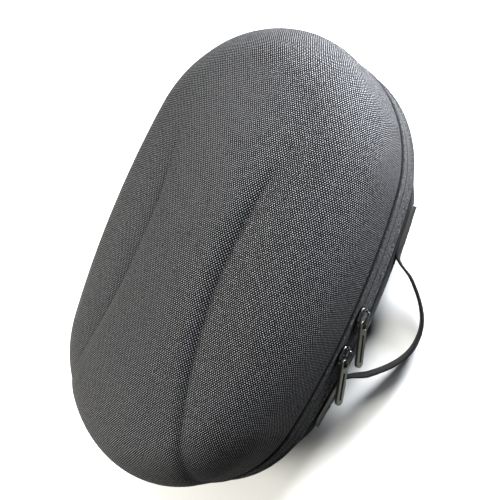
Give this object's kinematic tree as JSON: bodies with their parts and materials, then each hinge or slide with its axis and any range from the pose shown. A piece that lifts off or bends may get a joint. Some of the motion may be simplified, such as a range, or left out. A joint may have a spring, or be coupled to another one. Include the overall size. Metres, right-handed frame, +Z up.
{
  "type": "virtual reality headset case",
  "caption": "Hard oval zip case for a virtual reality headset, with a creased cloth-covered lid, knit zip tapes, metal pull tabs and a rubber strap handle on its long side.",
  "frame": {"origin": "centre of the flat face under the base that the case rests on", "axes": "+X along the length of the case, +Z up through the lid, -Y towards the side with the handle and the zip sliders"},
  "size_m": [0.348, 0.2436, 0.139],
  "materials": {
    "lid_cloth": "coarse woven cloth",
    "base_cloth": "fine dark cloth",
    "zip_tape": "knit tape",
    "zip_chain": "covered coil",
    "strap_rubber": "smooth soft rubber",
    "slider_metal": "black gloss enamel",
    "pull_metal": "gunmetal"
  },
  "bodies": {
    "case": {"base_shell": "base_cloth", "lid_shell": "lid_cloth", "zip_tape_lower": "zip_tape", "zip_tape_upper": "zip_tape", "zip_chain": "zip_chain", "hinge_strip": "zip_tape", "handle": "strap_rubber", "slider_1": "slider_metal", "slider_2": "slider_metal"},
    "pull_1": {"pull_1": "pull_metal"},
    "pull_2": {"pull_2": "pull_metal"}
  },
  "joints": [
    {"name": "pull_1_hinge", "type": "hinge", "parent": "case", "child": "pull_1", "pos_m": [0.00093, -0.10765, 0.048], "axis": [-0.1392, -0.0008, 0.9903], "range_deg": [-4, 115]},
    {"name": "pull_2_hinge", "type": "hinge", "parent": "case", "child": "pull_2", "pos_m": [-0.0293, -0.10697, 0.048], "axis": [-0.139, 0.0059, 0.9903], "range_deg": [-13, 45]}
  ]
}
